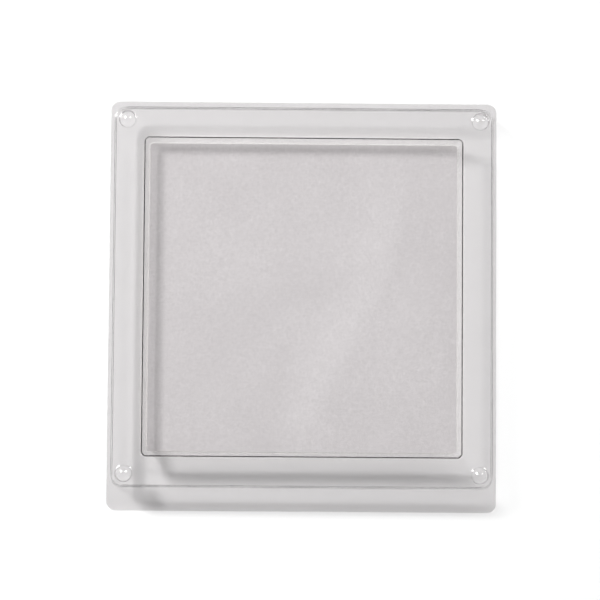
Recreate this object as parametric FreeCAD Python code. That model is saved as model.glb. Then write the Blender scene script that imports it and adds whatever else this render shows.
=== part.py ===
"""Wet palette: a clear tray with a square well, a damp pad and a paper sheet in the well, and a clear lid.

The tray and the lid are each formed from one thin sheet, and the lid nests over the tray. Its top covers
the tray's land, its skirt goes down round the tray's skirt, and its flange lies over the tray's flange.
The origin is at the centre of the tray's underside, +Z is up and the wide lips face -Y.
"""

import FreeCAD, Part

import math
import os

# Formed sheet
sheet_wall = 0.4  # thickness of the clear sheet in the tray and the lid
stud_wall = 0.35  # thickness of the sheet where it is drawn out into a stud

# Fits between the pieces
nest_gap = 0.3  # lid to tray, all over
pad_gap = 0.3  # side of the pad to the foot of the well's wall
sheet_gap = 0.2  # edge of the paper to the wall of the well
table_gap = 0.3  # tray's flange above the table, so that the floor of the well takes the weight

# Well of the tray
mouth_side = 156.6  # square mouth, at the top of the land
well_draft = 2.5  # how far each wall leans in from the mouth to the floor
well_depth = 13.6  # land down to the floor
well_corner = 2.6  # upright corners of the well, which the pad and the paper follow
mouth_bend = 0.7  # bend from the land down into the well

# Damp pad and paper
pad_thickness = 4.0
paper_thickness = 0.25

# Skirts of the lid and the tray
lid_side = 186.0  # outside of the lid's skirt at the top
skirt_flare = 1.7  # how far the skirt leans out on each side from its top to the table

# Flanges
flange_sides = 1.7  # lid's flange past the foot of its skirt, left and right
flange_back = 3.1
front_lip = 11.1  # wide lip for lifting, past the foot of the lid's skirt
flange_corner = 5.5  # corners of the lid's flange
flange_step = 0.3  # tray's flange past the lid's, so that the two can be parted

# Studs, one in each corner of the land, with a cap over it in the lid
cap_radius = 4.1  # outside of the cap where it leaves the lid
cap_taper = 19.0  # lean of its wall, degrees
cap_height = 2.8  # above the lid
cap_border = 1.9  # flat left between the cap's foot and the bend round the lid's top
crown_bevel = 0.35  # bevel inside the crown of the tray's stud, from which the outer ones follow

# The four skins of the two sheets, each drawn in from the outside of the lid
lid_inner = sheet_wall
tray_outer = lid_inner + nest_gap
tray_inner = tray_outer + sheet_wall

# The same four skins in a stud and its cap
cap_inner = stud_wall
stud_outer = cap_inner + nest_gap
stud_inner = stud_outer + stud_wall

# Levels
land_top = sheet_wall + well_depth
land_under = land_top - sheet_wall
lid_under = land_top + nest_gap
lid_top = lid_under + sheet_wall
tray_flange_under = table_gap
tray_flange_top = tray_flange_under + sheet_wall
lid_flange_under = tray_flange_top + nest_gap
lid_flange_top = lid_flange_under + sheet_wall
pad_top = sheet_wall + pad_thickness
paper_top = pad_top + paper_thickness
cap_crown = lid_top + cap_height

# Slopes of the walls, and what a distance square to a wall measures along a level
floor_side = mouth_side - 2 * well_draft
well_slope = well_draft / well_depth
well_across = sheet_wall * math.hypot(1, well_slope)
skirt_slope = skirt_flare / lid_top
skirt_stretch = math.hypot(1, skirt_slope)
cap_slope = math.tan(math.radians(cap_taper))

# A sheet bends sharply on the hollow side and is round there by its own thickness on the full side
bend = sheet_wall

# The lid's upright corners turn about the studs
lid_corner = cap_radius + cap_border + bend
stud_pitch = lid_side / 2 - lid_corner

bevel_gain = 2 - math.sqrt(2)  # how much wider a bevel gets for each step out to the next skin
overcut = 1.0  # how far a cutting form runs past the face that it opens
near = 1e-4

Z_UP = FreeCAD.Vector(0, 0, 1)


def well_side_at(z):
    """Inside width of the well at a level."""
    return floor_side + 2 * well_slope * (z - sheet_wall)


def skirt_side_at(z, inset):
    """Width of a skirt at a level, for a skin drawn in from the outside of the lid."""
    return lid_side + 2 * skirt_slope * (lid_top - z) - 2 * inset * skirt_stretch


def edges_where(shape, wanted):
    """Edges whose middle and ends all meet the condition."""
    found = []
    for edge in shape.Edges:
        middle = edge.valueAt((edge.FirstParameter + edge.LastParameter) / 2)
        if all(wanted(p) for p in [middle] + [v.Point for v in edge.Vertexes]):
            found.append(edge)
    return found


def level_edges(shape, z):
    return edges_where(shape, lambda p: abs(p.z - z) < near)


def upright_edges(shape):
    return [e for e in shape.Edges if abs(e.Vertexes[0].Z - e.Vertexes[-1].Z) > near]


def ring_edges(shape, side, corner, z):
    """Edges at a level that run round a square with rounded corners."""
    least = side / 2 - corner * (1 - math.sqrt(0.5)) - near
    most = side / 2 + near
    return edges_where(
        shape,
        lambda p: abs(p.z - z) < near and least < max(abs(p.x), abs(p.y)) < most,
    )


def flat_face(points):
    return Part.Face(Part.makePolygon(points + points[:1]))


def square_points(side, z):
    h = side / 2
    return [FreeCAD.Vector(x, y, z) for x, y in ((-h, -h), (h, -h), (h, h), (-h, h))]


def tapered_block(side_low, z_low, side_high, z_high, corner):
    """Square block with flat leaning sides and rounded upright corners."""
    low = square_points(side_low, z_low)
    high = square_points(side_high, z_high)
    faces = [flat_face(low[::-1]), flat_face(high)]
    for i in range(len(low)):
        j = (i + 1) % len(low)
        faces.append(flat_face([low[i], low[j], high[j], high[i]]))
    block = Part.Solid(Part.Shell(faces))
    return block.makeFillet(corner, upright_edges(block))


def flat_plate(x0, x1, y0, y1, z0, z1, corner):
    """Plate with rounded corners."""
    plate = Part.makeBox(x1 - x0, y1 - y0, z1 - z0, FreeCAD.Vector(x0, y0, z0))
    return plate.makeFillet(corner, upright_edges(plate))


def square_plate(side, z0, z1, corner):
    h = side / 2
    return flat_plate(-h, h, -h, h, z0, z1, corner)


def skirt_block(inset, z_low):
    """Solid inside one skin of the lid or the tray, from a level up to the flat top of that skin."""
    z_high = lid_top - inset
    side_low = skirt_side_at(z_low, inset)
    side_high = skirt_side_at(z_high, inset)
    return tapered_block(side_low, z_low, side_high, z_high, lid_corner - inset)


def bent_skirt_block(inset, z_low):
    """The same with a round bend between its top and its skirt."""
    block = skirt_block(inset, z_low)
    return block.makeFillet(bend, level_edges(block, lid_top - inset))


def flange_plate(step, z0, z1):
    """Flange with its wide front lip, reaching a step past the lid's flange."""
    foot = skirt_side_at(lid_flange_top, 0) / 2
    side = foot + flange_sides + step
    front = foot + front_lip + step
    back = foot + flange_back + step
    return flat_plate(-side, side, -front, back, z0, z1, flange_corner + step)


def formed_shell(outside, inside, inset, flange, flange_under):
    """One sheet as a flat top, a skirt and a flange, bent at the foot of the skirt."""
    shell = outside.fuse(flange).removeSplitter().cut(inside)
    foot = ring_edges(shell, skirt_side_at(flange_under, inset), lid_corner - inset, flange_under)
    return shell.makeFillet(bend, foot)


def stud_form(inset, z_low):
    """Turned solid inside one skin of a stud or its cap, up to the flat crown of that skin."""
    z_high = cap_crown - inset
    bevel = crown_bevel + bevel_gain * (stud_inner - inset)
    foot_radius = cap_radius - inset + cap_slope * (lid_top - z_low)
    shoulder_radius = cap_radius - inset + cap_slope * (lid_top - z_high + bevel)
    crown_radius = cap_radius - inset + cap_slope * (lid_top - z_high) - bevel
    profile = [
        FreeCAD.Vector(0, 0, z_low),
        FreeCAD.Vector(foot_radius, 0, z_low),
        FreeCAD.Vector(shoulder_radius, 0, z_high - bevel),
        FreeCAD.Vector(crown_radius, 0, z_high),
        FreeCAD.Vector(0, 0, z_high),
    ]
    return flat_face(profile).revolve(FreeCAD.Vector(), Z_UP, 360)


def at_corners(shape):
    """Four copies, one at each stud position."""
    copies = []
    for sx in (-1, 1):
        for sy in (-1, 1):
            copy = shape.copy()
            copy.translate(FreeCAD.Vector(sx * stud_pitch, sy * stud_pitch, 0))
            copies.append(copy)
    return copies


def base_tray():
    """Well, land, studs, skirt and flange, formed from one sheet."""
    tray = formed_shell(
        bent_skirt_block(tray_outer, tray_flange_under),
        skirt_block(tray_inner, tray_flange_under - overcut),
        tray_inner,
        flange_plate(flange_step, tray_flange_under, tray_flange_top),
        tray_flange_under,
    )
    well_low = well_side_at(0) + 2 * well_across
    well_high = well_side_at(land_top) + 2 * well_across
    well = tapered_block(well_low, 0, well_high, land_top, well_corner + well_across)
    well = well.makeFillet(bend, level_edges(well, 0))
    mouth_high = land_top + overcut
    hollow = tapered_block(floor_side, sheet_wall, well_side_at(mouth_high), mouth_high, well_corner)
    tray = tray.fuse(well).removeSplitter().cut(hollow)
    tray = tray.makeFillet(mouth_bend, ring_edges(tray, mouth_side, well_corner, land_top))
    studs = at_corners(stud_form(stud_outer, land_under))
    bores = at_corners(stud_form(stud_inner, land_under - overcut))
    return tray.fuse(studs).removeSplitter().cut(bores)


def lid():
    """Flat top, skirt, flange with its front lip, and a cap over each stud, formed from one sheet."""
    shell = formed_shell(
        bent_skirt_block(0, lid_flange_under),
        skirt_block(lid_inner, lid_flange_under - overcut),
        lid_inner,
        flange_plate(0, lid_flange_under, lid_flange_top),
        lid_flange_under,
    )
    caps = at_corners(stud_form(0, lid_under))
    sockets = at_corners(stud_form(cap_inner, lid_under - overcut))
    return shell.fuse(caps).removeSplitter().cut(sockets)


def sponge_pad():
    """Absorbent pad that lies on the floor of the well."""
    return square_plate(floor_side - 2 * pad_gap, sheet_wall, pad_top, well_corner)


def palette_sheet():
    """Membrane paper that lies on the pad, nearly from wall to wall."""
    return square_plate(well_side_at(pad_top) - 2 * sheet_gap, pad_top, paper_top, well_corner)


PIECES = {
    "base_tray": base_tray,
    "lid": lid,
    "sponge_pad": sponge_pad,
    "palette_sheet": palette_sheet,
}

os.makedirs("parts", exist_ok=True)
for name, make in PIECES.items():
    (solid,) = make().Solids
    print(name, "valid" if solid.isValid() else "not valid", round(solid.Volume, 1), "mm3")
    solid.exportStep(os.path.join("parts", name + ".step"))
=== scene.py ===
"""Looks of the wet palette: two clear formed sheets, a damp pad and a paper sheet, on a pale floor."""

import math

import bmesh
import bpy
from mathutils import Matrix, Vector, geometry, noise


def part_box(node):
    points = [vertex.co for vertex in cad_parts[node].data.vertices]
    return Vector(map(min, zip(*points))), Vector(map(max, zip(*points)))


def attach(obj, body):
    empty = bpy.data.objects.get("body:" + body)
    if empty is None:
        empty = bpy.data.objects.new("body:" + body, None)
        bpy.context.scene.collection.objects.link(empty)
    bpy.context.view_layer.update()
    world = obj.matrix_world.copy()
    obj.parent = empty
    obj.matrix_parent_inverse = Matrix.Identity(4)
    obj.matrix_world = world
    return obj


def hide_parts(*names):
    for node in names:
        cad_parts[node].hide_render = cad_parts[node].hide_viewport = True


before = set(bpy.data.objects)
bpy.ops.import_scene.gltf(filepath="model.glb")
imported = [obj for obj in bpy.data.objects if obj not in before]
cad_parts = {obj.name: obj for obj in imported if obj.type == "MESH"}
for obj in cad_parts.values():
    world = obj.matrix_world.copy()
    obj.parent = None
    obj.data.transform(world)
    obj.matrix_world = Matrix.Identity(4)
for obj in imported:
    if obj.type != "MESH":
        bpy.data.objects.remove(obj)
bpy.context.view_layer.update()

MM = 0.001

# Formed sheets
WALL = 0.4 * MM
NEST_GAP = 0.3 * MM
SKIRT_WALL = 0.21 * MM  # the skirts are drawn out thin
WELL_WALL = 0.55 * MM
INSIDE_BEND = 0.12 * MM  # hollow side of the bends at the feet of the skirts and round the floor
OUTSIDE_BEND = INSIDE_BEND + WALL
TOP_BEND = 0.28 * MM  # from a flat top down into its skirt
TOP_UNDER_BEND = 0.06 * MM
MOUTH_UNDER_BEND = 0.6 * MM  # from the land down into the well
MOUTH_BEND = MOUTH_UNDER_BEND + WALL
TRIM_ROUND = 0.12 * MM  # trimmed edges of the flanges
THIN_CORNER = 0.3 * MM  # how much sharper the inside of a skirt turns its corners
FLAT_STRAIN = 0.6 * MM  # how far past a bend the sheet is still uneven, on the flat
WALL_STRAIN = 1.8 * MM  # and down the wall

# Share of lamp light that each skin throws aside at a bend, and how much of that holds on each side
TOP_LOSS = 0.85
MOUTH_LOSS = 0.9
CROWN_LOSS = 0.25
RIM_SHARES = {"back": 0.25, "front": 1.15, "left": 0.8, "right": 0.03}
MOUTH_SHARES = {"back": 0.42, "front": 1.1, "left": 0.48, "right": 0.15}
WALL_SHARES = {"back": 0.85, "front": 1.7, "left": 1.1, "right": 0.4}
RIGHT_FROM = 0.8  # share of the half width past which the right side's figure holds
CORNER_BLEND = 4  # how soon the left side's figure gives way at its corners

# Levels
TABLE_GAP = 0.3 * MM
LAND_TOP = 14.0 * MM
LID_UNDER = LAND_TOP + NEST_GAP
LID_TOP = LID_UNDER + WALL
TRAY_FLANGE_TOP = TABLE_GAP + WALL
LID_FLANGE_UNDER = TRAY_FLANGE_TOP + NEST_GAP
LID_FLANGE_TOP = LID_FLANGE_UNDER + WALL

# Skirts and flanges
LID_HALF = 93.0 * MM
LID_CORNER = 6.4 * MM
SKIRT_FLARE = 1.7 * MM
SKIRT_SLOPE = SKIRT_FLARE / LID_TOP
LEDGE = 1.0 * MM  # flat past the foot of a skirt, before the flange's edge
FLANGE_CORNER = 4.4 * MM

# Well
MOUTH_HALF = 78.05 * MM
WELL_DRAFT = 2.25 * MM
WELL_CORNER = 1.6 * MM
WELL_SLOPE = WELL_DRAFT / (LAND_TOP - WALL)
WALL_LOW = 0.45 * MM  # levels between which the sheet of the well is wall
WALL_HIGH = 13.5 * MM

# Studs and caps
STUD_PITCH = LID_HALF - LID_CORNER
STUD_WALL = 0.35 * MM
STUD_THIN = 0.16 * MM  # thickness that is left at the crown
CAP_RADIUS = 4.1 * MM
CAP_TAPER = 38  # lean of a cap's wall, degrees
CAP_SLOPE = math.tan(math.radians(CAP_TAPER))
CAP_CROWN = LID_TOP + 2.8 * MM
CROWN_BEVEL = 0.35 * MM
BEVEL_GAIN = 2 - math.sqrt(2)
STUD_OUTER = STUD_WALL + NEST_GAP
STUD_INNER = STUD_OUTER + STUD_WALL
CROWN_CENTRE = 0.15 * MM

# Bends of the studs and caps: at the foot and round the crown
CAP_BENDS = (0.95 * MM, 2.9 * MM)
CAP_UNDER_BENDS = (1.1 * MM, 2.75 * MM)
STUD_BENDS = (0.55 * MM, 2.0 * MM)
STUD_UNDER_BENDS = (0.7 * MM, 1.85 * MM)

# Paper and pad
PAPER_STEPS = 72
PAPER_SKIN = 0.1 * MM
PAPER_LIFT = 0.02 * MM
COCKLE = 0.12 * MM
COCKLE_SCALE = 22.0
COCKLE_SEED = 3.7
CRISP_ANGLE = math.radians(40)
PAD_ROUND = 0.7 * MM

# Fineness of the meshes
BEND_STEPS = 8
CORNER_STEPS = 16
SIDE_STEPS = 10
STUD_STEPS = 64
FLAT_WEIGHT = 100
CORNERS = ((1, 1), (-1, 1), (-1, -1), (1, -1))
INSIDE_ONLY = 1  # the flat fill keeps to its outline
NEAR = 1e-9

# Noise fields
MIDDLE = 0.5  # level about which a field varies
SPAN = (0.3, 0.7)  # levels that most of a field lies between

# Clear plastic
# Grey tint of the sheets: partly the plastic's own faint grey, partly painted shade that stands in for
# lamp light held back on its way down through them
SHEET_TINT_AND_SHADE = (0.878, 0.868, 0.871, 1)
SHEET_IOR = 1.49
SHEET_ROUGHNESS = 0.02
SCUFF_ROUGHNESS = 0.1
SCUFF_DEPTH = 0.04
SHEET_WAVES = 40
SHEET_RELIEF = 0.05 * MM
HAIRLINES = ((24, 45 * MM, 2.4 * MM), (-58, 55 * MM, 2.8 * MM))  # turn in degrees, length, spacing
HAIRLINE_FINENESS = 0.02
HAIRLINE_PATCH_SCALE = 0.9
HAIRLINE_PATCHES = (0.52, 0.68)
SKIN_LOSS = 0.1  # light lost at a slant
SLANT_POWER = 3
WALL_LOSS = 0.14  # and in the steep walls of the well
STEEP = (0.25, 0.55)

# Damp paper
PAPER_PALE = (0.746, 0.722, 0.727, 1)
PAPER_DEEP = (0.626, 0.602, 0.608, 1)
PAPER_TONES = (0.25, 0.76)
PAPER_CLOUDS = 30
PAPER_ROUGHNESS = (0.55, 0.75)
PAPER_SPECULAR = 0.15
PAPER_BUMP = 0.5
PAPER_RELIEF = 0.05 * MM
FIBRE_LENGTH = 2.5 * MM
FIBRE_WIDTH = 0.85 * MM
FIBRE_SHARE = 0.75  # of the paper's tone, with the clouds as the rest
CREASES = ((80, 0.011), (130, 0.016), (210, 0.022))  # scale, fineness
CREASE_SHARE = 0.15
CREASE_HEIGHT = 0.5
CREASE_PATCHES = (0.4, 0.6)
PATCH_WIDTH = 5  # a patch of creases, in curls

# Pad
FOAM_PALE = (0.80, 0.78, 0.74, 1)
# Colour of the pores: painted shade inside the open cells
FOAM_PORE_SHADE = (0.60, 0.58, 0.54, 1)
FOAM_CELLS = 1100
FOAM_PORES = (0.15, 0.5)
FOAM_CLOUDS = 60
FOAM_ROUGHNESS = (0.8, 0.95)
FOAM_BUMP = 0.8
FOAM_RELIEF = 0.3 * MM

# Floor
FLOOR_COLOUR = (0.99, 0.99, 0.99, 1)
FLOOR_REACH = 12.0
FLOOR_LEVEL = -0.15 * MM

# Room: pale low down, dimmer overhead, with one short bowed strip light near the zenith
HORIZON = 0.75
DOME = 0.155
ROOM_LEVELS = (0.1, 0.55)
SHEEN = 0.55
STRIP_ACROSS = (0.92, -0.392, 0)
STRIP_ALONG = (0.392, 0.92, 0)
STRIP_MIDDLE = 0.055
STRIP_BOW = 1.1
STRIP_RISE = (-0.01, 0.019)
STRIP_FALL = (0.022, 0.034)
STRIP_ENDS = (0.004, 0.0105)  # squared distance from its middle
STRIP_LEVELS = (0.93, 0.99)

# Lamps: strength, and the spread of a distant lamp in degrees
KEY_PLACE = (-0.80, 0.62, 0.82)
KEY_WIDTH = 0.34
KEY_POWER = 12.6
FILL_AIM = (-12.0, -10.0, -16.0)
FILL = (0.4, 10)
GLINT_AIMS = {"glint": (-11.0, -8.0, -14.0), "left_glint": (12.0, -8.0, -14.0)}
GLINT = (1.3, 22)
SHEETS_LIT_THROUGH = 48  # skins that a lamp's ray may pass

# Camera
LENS = 96.456
SENSOR = 36
CAMERA_PLACE = (-6.69 * MM, -40.44 * MM, 800 * MM)
CAMERA_TURN = (2.825, -0.406, 0.436)
CAMERA_REACH = 100


def rounded_path(points):
    """Path of ((across, level), bend), with an arc at each point of (across, level, radius, bend)."""
    path = []
    for i, (across, level, radius, bend) in enumerate(points):
        corner = Vector((across, level))
        if radius == 0:
            path.append((corner, bend))
            continue
        back = (Vector(points[i - 1][:2]) - corner).normalized()
        ahead = (Vector(points[i + 1][:2]) - corner).normalized()
        half = back.angle(ahead) / 2
        centre = corner + (back + ahead).normalized() * radius / math.sin(half)
        start = corner + back * radius / math.tan(half) - centre
        end = corner + ahead * radius / math.tan(half) - centre
        for step in range(BEND_STEPS + 1):
            path.append((centre + radius * start.slerp(end, step / BEND_STEPS), bend))
    return path


def rounded_square(half_x, half_y, corner, z, centre_y=0.0):
    """Points round a rectangle with rounded corners, the same number on each."""
    points = []
    for quarter, (sx, sy) in enumerate(CORNERS):
        middle = Vector((sx * (half_x - corner), centre_y + sy * (half_y - corner), z))
        for step in range(CORNER_STEPS + 1):
            turn = (quarter + step / CORNER_STEPS) * math.pi / 2
            points.append(middle + corner * Vector((math.cos(turn), math.sin(turn), 0)))
    evened = []
    for i, start in enumerate(points):
        end = points[(i + 1) % len(points)]
        steps = SIDE_STEPS if i % (CORNER_STEPS + 1) == CORNER_STEPS else 1
        evened += [start.lerp(end, step / steps) for step in range(steps)]
    return evened


def circle(centre, radius, z):
    turns = [2 * math.pi * i / STUD_STEPS for i in range(STUD_STEPS)]
    return [Vector((centre[0] + radius * math.cos(t), centre[1] + radius * math.sin(t), z)) for t in turns]


def new_form():
    """Empty mesh that also notes where the sheet is bent and where it is the wall of the well."""
    bm = bmesh.new()
    bm.verts.layers.float.new("bend")
    bm.verts.layers.float.new("wall")
    return bm


def side_share(point, shares):
    """How much of a loss holds where a point lies, which differs from side to side."""
    x, y = point.x / LID_HALF, point.y / LID_HALF
    if x > RIGHT_FROM:
        return shares["right"]
    end = shares["back" if y > 0 else "front"]
    if x > 0:
        return end
    across = min(1, max(0, 0.5 + CORNER_BLEND * (abs(x) - abs(y))))
    return shares["left"] * across + end * (1 - across)


def add_loops(bm, loops, well=False):
    """Loops of (points, bend) joined one to the next by quads. Returns the loops' vertices."""
    bend_layer = bm.verts.layers.float["bend"]
    wall_layer = bm.verts.layers.float["wall"]
    shares = MOUTH_SHARES if well else RIM_SHARES
    rows = []
    for points, bend in loops:
        row = [bm.verts.new(p) for p in points]
        for vert in row:
            vert[bend_layer] = bend * side_share(vert.co, shares)
            if well and WALL_LOW < vert.co.z < WALL_HIGH:
                vert[wall_layer] = side_share(vert.co, WALL_SHARES)
        rows.append(row)
    for low, high in zip(rows, rows[1:]):
        for i in range(len(low)):
            j = (i + 1) % len(low)
            bm.faces.new((low[i], low[j], high[j], high[i]))
    return rows


def inside(point, loop):
    """True if a point lies inside a loop, seen from above."""
    odd = False
    for i in range(len(loop)):
        a, b = loop[i - 1], loop[i]
        if (a.y > point.y) != (b.y > point.y):
            odd ^= point.x < (b.x - a.x) * (point.y - a.y) / (b.y - a.y) + a.x
    return odd


def add_flat(bm, outline, holes):
    """Flat face between an outline of vertices and holes in it."""
    verts, edges = [], []
    for loop in [outline] + holes:
        first = len(verts)
        verts += loop
        edges += [(first + i, first + (i + 1) % len(loop)) for i in range(len(loop))]
    flat = [v.co.xy for v in verts]
    hole_points = [[v.co.xy for v in hole] for hole in holes]
    triangles = geometry.delaunay_2d_cdt(flat, edges, [], INSIDE_ONLY, NEAR)[2]
    for triangle in triangles:
        middle = sum((flat[i] for i in triangle), Vector((0, 0))) / len(triangle)
        if not any(inside(middle, hole) for hole in hole_points):
            bm.faces.new([verts[i] for i in triangle])


def skirt_loops(points, corner):
    """Loops round the skirt, from a path whose across is measured from the lid's outside at its top."""
    loops = []
    for (across, z), bend in rounded_path(points):
        half = LID_HALF + across
        loops.append((rounded_square(half, half, corner + min(0, across), z), bend))
    return loops


def well_loops(points, corner):
    """Loops round the well, from a path whose across is measured from the inside of its mouth."""
    loops = []
    for (across, z), bend in rounded_path(points):
        half = MOUTH_HALF + across
        loops.append((rounded_square(half, half, corner + max(0, across), z), bend))
    return loops


def flange_loops(solid, top, under):
    """Loops round a flange's trimmed edge, whose outline is the solid's box."""
    low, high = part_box(solid)
    half_x = high.x
    half_y = (high.y - low.y) / 2
    centre_y = (high.y + low.y) / 2
    corner = FLANGE_CORNER + (half_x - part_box("lid")[1].x)
    loops = []
    for inset, z in (
        (TRIM_ROUND, top),
        (0, top - TRIM_ROUND),
        (0, under + TRIM_ROUND),
        (TRIM_ROUND, under),
    ):
        loops.append((rounded_square(half_x - inset, half_y - inset, corner - inset, z, centre_y), 0))
    return loops


def skirt_across(z, inset):
    """How far a skirt's skin lies out from the lid's top edge at a level."""
    return SKIRT_SLOPE * (LID_TOP - z) - inset * math.hypot(1, SKIRT_SLOPE)


def skirt_skin(depth, inset, flange_level, top_bend, foot_bend, thin=0.0):
    """Loops from the flat top of one skin, down its skirt and out onto its flange."""
    top = LID_TOP - depth
    top_across = skirt_across(top, inset)
    foot_across = skirt_across(flange_level, inset)
    strained = top - top_bend - WALL_STRAIN
    return skirt_loops(
        [
            (top_across - top_bend - FLAT_STRAIN, top, 0, 0),
            (top_across, top, top_bend, TOP_LOSS),
            (skirt_across(strained, inset), strained, 0, 0),
            (foot_across, flange_level, foot_bend, 0),
            (foot_across + LEDGE, flange_level, 0, 0),
        ],
        LID_CORNER - inset - thin,
    )


def add_studs(bm, inset, foot_level, foot_bend, crown_bend):
    """One skin of the four studs or caps. Returns the loops round their feet."""
    crown = CAP_CROWN - inset
    bevel = CROWN_BEVEL + BEVEL_GAIN * (STUD_INNER - inset)

    def wall(z):
        return CAP_RADIUS - inset + CAP_SLOPE * (LID_TOP - z)

    path = rounded_path(
        [
            (wall(foot_level) + foot_bend, foot_level, 0, 0),
            (wall(foot_level), foot_level, foot_bend, 0),
            (wall(crown - bevel), crown - bevel, crown_bend, CROWN_LOSS),
            (wall(crown) - bevel, crown, crown_bend, CROWN_LOSS),
            (CROWN_CENTRE, crown, 0, 0),
        ]
    )
    feet = []
    for sx, sy in CORNERS:
        centre = (sx * STUD_PITCH, sy * STUD_PITCH)
        rows = add_loops(bm, [(circle(centre, radius, z), bend) for (radius, z), bend in path])
        bm.faces.new(rows[-1])
        feet.append(rows[0])
    return feet


def finish_mesh(bm, name, material, body, solid):
    """Closed mesh as a smooth piece that stands for a solid."""
    bmesh.ops.recalc_face_normals(bm, faces=bm.faces[:])
    mesh = bpy.data.meshes.new(name)
    bm.to_mesh(mesh)
    bm.free()
    mesh.shade_smooth()
    piece = bpy.data.objects.new(name, mesh)
    bpy.context.scene.collection.objects.link(piece)
    mesh.materials.append(material)
    weighted = piece.modifiers.new("flat_areas_stay_flat", "WEIGHTED_NORMAL")
    weighted.weight = FLAT_WEIGHT
    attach(piece, body)
    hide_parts(solid)
    return piece


def make_lid(material):
    """Flat top, skirt and flange with its front lip, and a cap over each stud."""
    bm = new_form()
    upper = skirt_skin(0, 0, LID_FLANGE_TOP, TOP_BEND, INSIDE_BEND)
    lower = skirt_skin(WALL, SKIRT_WALL, LID_FLANGE_UNDER, TOP_UNDER_BEND, OUTSIDE_BEND, THIN_CORNER)
    edge = flange_loops("lid", LID_FLANGE_TOP, LID_FLANGE_UNDER)
    rows = add_loops(bm, upper + edge + lower[::-1])
    add_flat(bm, rows[0], add_studs(bm, 0, LID_TOP, *CAP_BENDS))
    add_flat(bm, rows[-1], add_studs(bm, STUD_THIN, LID_UNDER, *CAP_UNDER_BENDS))
    return finish_mesh(bm, "clear_lid", material, "lid", "lid")


def well_skin(inset, floor_level, land_level, floor_bend, mouth_bend):
    """Loops from one skin of the well's floor, up its wall and out onto the land."""
    out = inset * math.hypot(1, WELL_SLOPE)
    strained = land_level - mouth_bend - WALL_STRAIN

    def across(z):
        return out - WELL_SLOPE * (LAND_TOP - z)

    return well_loops(
        [
            (across(floor_level) - floor_bend - FLAT_STRAIN, floor_level, 0, 0),
            (across(floor_level), floor_level, floor_bend, 0),
            (across(strained), strained, 0, 0),
            (across(land_level), land_level, mouth_bend, MOUTH_LOSS),
            (across(land_level) + mouth_bend + FLAT_STRAIN, land_level, 0, 0),
        ],
        WELL_CORNER + inset,
    )


def make_tray(material):
    """Well, land, studs, skirt and flange with its front lip."""
    bm = new_form()
    outer = WALL + NEST_GAP
    thinned = outer + SKIRT_WALL
    upper = skirt_skin(outer, outer, TRAY_FLANGE_TOP, TOP_BEND, INSIDE_BEND)
    lower = skirt_skin(outer + WALL, thinned, TABLE_GAP, TOP_UNDER_BEND, OUTSIDE_BEND, THIN_CORNER)
    edge = flange_loops("base_tray", TRAY_FLANGE_TOP, TABLE_GAP)
    rows = add_loops(bm, upper + edge + lower[::-1])
    well_in = add_loops(bm, well_skin(0, WALL, LAND_TOP, INSIDE_BEND, MOUTH_BEND), well=True)
    under = well_skin(WELL_WALL, 0, LAND_TOP - WALL, OUTSIDE_BEND, MOUTH_UNDER_BEND)
    well_out = add_loops(bm, under, well=True)
    studs = add_studs(bm, STUD_OUTER, LAND_TOP, *STUD_BENDS)
    bores = add_studs(bm, STUD_OUTER + STUD_THIN, LAND_TOP - WALL, *STUD_UNDER_BENDS)
    add_flat(bm, rows[0], [well_in[-1]] + studs)
    add_flat(bm, rows[-1], [well_out[-1]] + bores)
    bm.faces.new(well_in[0])
    bm.faces.new(well_out[0])
    return finish_mesh(bm, "clear_tray", material, "tray", "base_tray")


def make_paper(material):
    """Limp membrane sheet, slightly cockled, lying on the pad."""
    low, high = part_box("palette_sheet")
    outline = rounded_square(high.x, high.y, WELL_CORNER, 0)
    points = [p.xy for p in outline]
    edges = [(i, (i + 1) % len(points)) for i in range(len(points))]
    for i in range(1, PAPER_STEPS):
        x = low.x + 2 * high.x * i / PAPER_STEPS
        for j in range(1, PAPER_STEPS):
            points.append(Vector((x, low.y + 2 * high.y * j / PAPER_STEPS)))
    coords, _, faces = geometry.delaunay_2d_cdt(points, edges, [], INSIDE_ONLY, NEAR)[:3]
    mesh = bpy.data.meshes.new("membrane_sheet")
    verts = []
    for x, y in coords:
        lift = COCKLE * (0.5 + 0.5 * noise.noise((x * COCKLE_SCALE, y * COCKLE_SCALE, COCKLE_SEED)))
        verts.append((x, y, low.z + PAPER_LIFT + max(0, lift)))
    mesh.from_pydata(verts, [], faces)
    mesh.shade_smooth()
    mesh.materials.append(material)
    piece = bpy.data.objects.new("membrane_sheet", mesh)
    bpy.context.scene.collection.objects.link(piece)
    skin = piece.modifiers.new("thickness", "SOLIDIFY")
    skin.thickness = PAPER_SKIN
    skin.offset = 1
    crisp = piece.modifiers.new("crisp_edge", "EDGE_SPLIT")
    crisp.split_angle = CRISP_ANGLE
    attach(piece, "sheet")
    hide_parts("palette_sheet")
    return piece


def make_pad(material):
    """Soft pad with a rounded rim."""
    bm = new_form()
    low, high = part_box("sponge_pad")
    path = rounded_path(
        [
            (-PAD_ROUND * 2, low.z, 0, 0),
            (0, low.z, PAD_ROUND, 0),
            (0, high.z, PAD_ROUND, 0),
            (-PAD_ROUND * 2, high.z, 0, 0),
        ]
    )
    loops = [(rounded_square(high.x + a, high.y + a, WELL_CORNER + a, z), 0) for (a, z), _ in path]
    rows = add_loops(bm, loops)
    bm.faces.new(rows[0])
    bm.faces.new(rows[-1])
    return finish_mesh(bm, "damp_pad", material, "pad", "sponge_pad")


def put(tree, socket, value):
    """Set a socket, or link it where the value is another node's output."""
    if isinstance(value, bpy.types.NodeSocket):
        tree.links.new(value, socket)
    else:
        socket.default_value = value


def node(tree, kind, **values):
    """New node with its inputs and settings."""
    made = tree.nodes.new(kind)
    for key, value in values.items():
        name = key.replace("_", " ").title()
        if name in made.inputs:
            put(tree, made.inputs[name], value)
        else:
            setattr(made, key, value)
    return made


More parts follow.
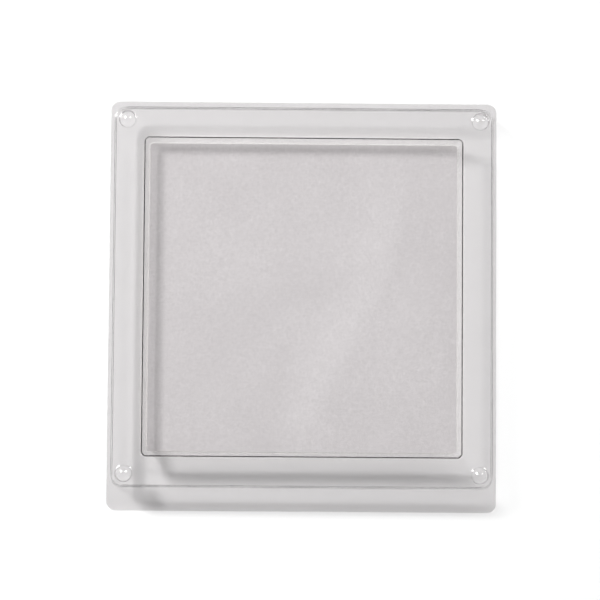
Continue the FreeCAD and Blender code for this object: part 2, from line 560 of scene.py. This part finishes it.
def calc(tree, operation, *values, clamp=False):
    made = node(tree, "ShaderNodeMath", operation=operation, use_clamp=clamp)
    for socket, value in zip(made.inputs, values):
        put(tree, socket, value)
    return made.outputs[0]


def ramp(tree, value, low, high, out_low=0.0, out_high=1.0):
    """Smooth step of a value from one level to another."""
    made = node(tree, "ShaderNodeMapRange", interpolation_type="SMOOTHSTEP", value=value)
    for name, level in (("From Min", low), ("From Max", high), ("To Min", out_low), ("To Max", out_high)):
        made.inputs[name].default_value = level
    return made.outputs[0]


def mixed(tree, factor, first, second):
    """Colour between two others."""
    made = node(tree, "ShaderNodeMix", data_type="RGBA")
    put(tree, made.inputs[0], factor)
    put(tree, made.inputs[6], first)
    put(tree, made.inputs[7], second)
    return made.outputs[2]


def cloud(tree, where, scale, detail):
    return node(tree, "ShaderNodeTexNoise", vector=where, scale=scale, detail=detail).outputs[0]


def off_middle(tree, field):
    """How far a noise field is from its middle level."""
    return calc(tree, "ABSOLUTE", calc(tree, "SUBTRACT", field, MIDDLE))


def hairlines(tree, where, turn, along, across):
    """Fine lines in one direction, gathered in patches, with their length and spacing."""
    turned = node(tree, "ShaderNodeMapping", vector_type="TEXTURE", vector=where)
    turned.inputs["Rotation"].default_value = (0, 0, math.radians(turn))
    turned.inputs["Scale"].default_value = (along, across, along)
    off = off_middle(tree, cloud(tree, turned.outputs[0], 1, 1))
    line = ramp(tree, off, 0, HAIRLINE_FINENESS, 1, 0)
    patch = ramp(tree, cloud(tree, turned.outputs[0], HAIRLINE_PATCH_SCALE, 0), *HAIRLINE_PATCHES)
    return calc(tree, "MULTIPLY", line, patch)


def threads(tree, where, scale, fineness):
    """Fine curled lines that run every way, gathered in patches."""
    off = off_middle(tree, cloud(tree, where, scale, 2))
    patch = ramp(tree, cloud(tree, where, scale / PATCH_WIDTH, 1), *CREASE_PATCHES)
    return calc(tree, "MULTIPLY", ramp(tree, off, 0, fineness, 1, 0), patch)


def fibres(tree, where, along, across):
    """Short fibres laid both ways, with their length and width."""
    fields = []
    for size in ((along, across, along), (across, along, along)):
        laid = node(tree, "ShaderNodeMapping", vector_type="TEXTURE", vector=where)
        laid.inputs["Scale"].default_value = size
        fields.append(cloud(tree, laid.outputs[0], 1, 2))
    return calc(tree, "MULTIPLY", calc(tree, "ADD", *fields), 1 / len(fields))


def new_material(name):
    material = bpy.data.materials.new(name)
    material.use_nodes = True
    return material, material.node_tree, material.node_tree.nodes["Principled BSDF"]


def add_bump(tree, shader, height, strength, distance):
    bump = node(tree, "ShaderNodeBump", height=height, strength=strength, distance=distance)
    put(tree, shader.inputs["Normal"], bump.outputs[0])


def clear_plastic(name):
    """Clear formed sheet. Lamps shine through it, less at a slant and little at its bends."""
    material, tree, shader = new_material(name)
    # The base colour darkens all that is seen through the sheet: the plastic's faint grey and painted
    # shade
    shader.inputs["Base Color"].default_value = SHEET_TINT_AND_SHADE
    shader.inputs["Transmission Weight"].default_value = 1.0
    shader.inputs["IOR"].default_value = SHEET_IOR

    where = node(tree, "ShaderNodeTexCoord").outputs["Object"]
    scuffs = calc(tree, "ADD", *[hairlines(tree, where, *lines) for lines in HAIRLINES], clamp=True)
    rough = calc(tree, "MULTIPLY_ADD", scuffs, SCUFF_ROUGHNESS, SHEET_ROUGHNESS)
    put(tree, shader.inputs["Roughness"], rough)
    waves = cloud(tree, where, SHEET_WAVES, 1)
    height = calc(tree, "MULTIPLY_ADD", scuffs, -SCUFF_DEPTH, waves)
    add_bump(tree, shader, height, 1.0, SHEET_RELIEF)

    slant = node(tree, "ShaderNodeLayerWeight", blend=0.5).outputs["Facing"]
    bend = node(tree, "ShaderNodeAttribute", attribute_name="bend").outputs["Fac"]
    wall = node(tree, "ShaderNodeAttribute", attribute_name="wall").outputs["Fac"]
    steep = calc(tree, "MULTIPLY", wall, ramp(tree, slant, *STEEP, 0, WALL_LOSS))
    loss = calc(tree, "MULTIPLY_ADD", calc(tree, "POWER", slant, SLANT_POWER), SKIN_LOSS, steep)
    let_by = calc(tree, "SUBTRACT", 1, bend, clamp=True)
    light = calc(tree, "MULTIPLY", calc(tree, "SUBTRACT", 1, loss), let_by)
    through = node(tree, "ShaderNodeBsdfTransparent", color=light)

    path = node(tree, "ShaderNodeLightPath")
    either = calc(tree, "MAXIMUM", path.outputs["Is Shadow Ray"], path.outputs["Is Diffuse Ray"])
    mix = node(tree, "ShaderNodeMixShader")
    put(tree, mix.inputs[0], either)
    put(tree, mix.inputs[1], shader.outputs[0])
    put(tree, mix.inputs[2], through.outputs[0])
    put(tree, tree.nodes["Material Output"].inputs["Surface"], mix.outputs[0])
    return material


def damp_paper():
    """Cloudy damp membrane with short fibres and fine creases."""
    material, tree, shader = new_material("damp_paper")
    where = node(tree, "ShaderNodeTexCoord").outputs["Object"]
    broad = cloud(tree, where, PAPER_CLOUDS, 3)
    fine = fibres(tree, where, FIBRE_LENGTH, FIBRE_WIDTH)
    creases = threads(tree, where, *CREASES[0])
    for crease in CREASES[1:]:
        creases = calc(tree, "ADD", creases, threads(tree, where, *crease), clamp=True)
    clouds = calc(tree, "MULTIPLY", broad, 1 - FIBRE_SHARE)
    tone = calc(tree, "MULTIPLY_ADD", fine, FIBRE_SHARE, clouds)
    tone = calc(tree, "MULTIPLY_ADD", creases, CREASE_SHARE, tone)
    colour = mixed(tree, ramp(tree, tone, *PAPER_TONES), PAPER_DEEP, PAPER_PALE)
    put(tree, shader.inputs["Base Color"], colour)
    shader.inputs["Specular IOR Level"].default_value = PAPER_SPECULAR
    put(tree, shader.inputs["Roughness"], ramp(tree, broad, *SPAN, *PAPER_ROUGHNESS))
    height = calc(tree, "MULTIPLY_ADD", creases, CREASE_HEIGHT, fine)
    add_bump(tree, shader, height, PAPER_BUMP, PAPER_RELIEF)
    return material


def open_foam():
    """Open-celled pad with fine pores, which are dented by the bump and painted darker as painted shade in
    the cells.
    """
    material, tree, shader = new_material("open_foam")
    where = node(tree, "ShaderNodeTexCoord").outputs["Object"]
    cells = node(tree, "ShaderNodeTexVoronoi", vector=where, scale=FOAM_CELLS).outputs["Distance"]
    pore_depth_and_shade = ramp(tree, cells, *FOAM_PORES)
    put(tree, shader.inputs["Base Color"], mixed(tree, pore_depth_and_shade, FOAM_PORE_SHADE, FOAM_PALE))
    rough = ramp(tree, cloud(tree, where, FOAM_CLOUDS, 2), *SPAN, *FOAM_ROUGHNESS)
    put(tree, shader.inputs["Roughness"], rough)
    add_bump(tree, shader, pore_depth_and_shade, FOAM_BUMP, FOAM_RELIEF)
    return material


def pale_floor():
    material, tree, shader = new_material("pale_floor")
    shader.inputs["Base Color"].default_value = FLOOR_COLOUR
    shader.inputs["Roughness"].default_value = 1.0
    shader.inputs["Specular IOR Level"].default_value = 0.0
    return material


def add_floor():
    mesh = bpy.data.meshes.new("floor")
    corners = [(sx * FLOOR_REACH, sy * FLOOR_REACH, FLOOR_LEVEL) for sx, sy in CORNERS]
    mesh.from_pydata(corners, [], [range(len(corners))])
    mesh.materials.append(pale_floor())
    floor = bpy.data.objects.new("floor", mesh)
    bpy.context.scene.collection.objects.link(floor)


def add_sun(name, towards, strength, spread):
    """Distant soft lamp that shines along a direction."""
    light = bpy.data.lights.new(name, "SUN")
    light.energy = strength
    light.angle = math.radians(spread)
    lamp = bpy.data.objects.new(name, light)
    lamp.rotation_mode = "QUATERNION"
    lamp.rotation_quaternion = Vector(towards).to_track_quat("-Z", "Y")
    bpy.context.scene.collection.objects.link(lamp)
    return lamp


def add_softbox(name, place, width, power):
    """Round soft lamp that faces the palette and lights it evenly."""
    light = bpy.data.lights.new(name, "AREA")
    light.shape = "DISK"
    light.size = width
    light.energy = power
    light.use_nodes = True
    tree = light.node_tree
    even = node(tree, "ShaderNodeLightFalloff", strength=1.0).outputs["Constant"]
    put(tree, tree.nodes["Emission"].inputs["Strength"], even)
    lamp = bpy.data.objects.new(name, light)
    lamp.location = place
    lamp.rotation_mode = "QUATERNION"
    lamp.rotation_quaternion = (-Vector(place)).to_track_quat("-Z", "Y")
    bpy.context.scene.collection.objects.link(lamp)
    return lamp


def shine_past(lamp, pieces):
    """Damp pieces glow right through, so this lamp's light isn't stopped by them."""
    spared = bpy.data.collections.new("translucent")
    for piece in pieces:
        spared.objects.link(piece)
    lamp.light_linking.blocker_collection = spared
    for entry in spared.collection_objects:
        entry.light_linking.link_state = "EXCLUDE"


def add_lamps(damp_pieces):
    """Soft key from the back left, weak fill, and two lamps that only add glints."""
    key = add_softbox("key", KEY_PLACE, KEY_WIDTH, KEY_POWER)
    add_sun("fill", FILL_AIM, *FILL)
    for name, aim in GLINT_AIMS.items():
        add_sun(name, aim, *GLINT).visible_diffuse = False
    shine_past(key, damp_pieces)


def measured(tree, aim, direction):
    """How far an aim reaches along a direction."""
    made = node(tree, "ShaderNodeVectorMath", operation="DOT_PRODUCT")
    put(tree, made.inputs[0], aim)
    made.inputs[1].default_value = direction
    return made.outputs["Value"]


def add_world():
    world = bpy.data.worlds.new("studio")
    bpy.context.scene.world = world
    world.use_nodes = True
    tree = world.node_tree
    aim = node(tree, "ShaderNodeTexCoord").outputs["Generated"]
    level = node(tree, "ShaderNodeSeparateXYZ", vector=aim).outputs["Z"]
    room = ramp(tree, level, *ROOM_LEVELS, HORIZON, DOME)
    off = calc(tree, "SUBTRACT", measured(tree, aim, STRIP_ALONG), STRIP_MIDDLE)
    far = calc(tree, "MULTIPLY", off, off)
    bow = calc(tree, "MULTIPLY_ADD", far, STRIP_BOW, measured(tree, aim, STRIP_ACROSS))
    rise = ramp(tree, bow, *STRIP_RISE, 0, SHEEN)
    fall = ramp(tree, bow, *STRIP_FALL, 1, 0)
    ends = ramp(tree, far, *STRIP_ENDS, 1, 0)
    overhead = ramp(tree, level, *STRIP_LEVELS)
    short = calc(tree, "MULTIPLY", ends, overhead)
    strip = calc(tree, "MULTIPLY", calc(tree, "MULTIPLY", rise, fall), short)
    background = tree.nodes["Background"]
    background.inputs["Color"].default_value = (1, 1, 1, 1)
    put(tree, background.inputs["Strength"], calc(tree, "ADD", room, strip))


def add_camera():
    """Camera high above the palette, a little towards its front, as in the photograph."""
    camera = bpy.data.cameras.new("camera")
    camera.lens = LENS
    camera.sensor_width = SENSOR
    camera.clip_end = CAMERA_REACH
    view = bpy.data.objects.new("camera", camera)
    view.location = CAMERA_PLACE
    view.rotation_euler = [math.radians(a) for a in CAMERA_TURN]
    bpy.context.scene.collection.objects.link(view)
    bpy.context.scene.camera = view


make_lid(clear_plastic("lid_clear_plastic"))
make_tray(clear_plastic("tray_clear_plastic"))
pad = make_pad(open_foam())
paper = make_paper(damp_paper())

add_floor()
add_world()
add_lamps([pad, paper])
add_camera()
bpy.context.scene.view_settings.view_transform = "Standard"
bpy.context.scene.cycles.transparent_max_bounces = SHEETS_LIT_THROUGH
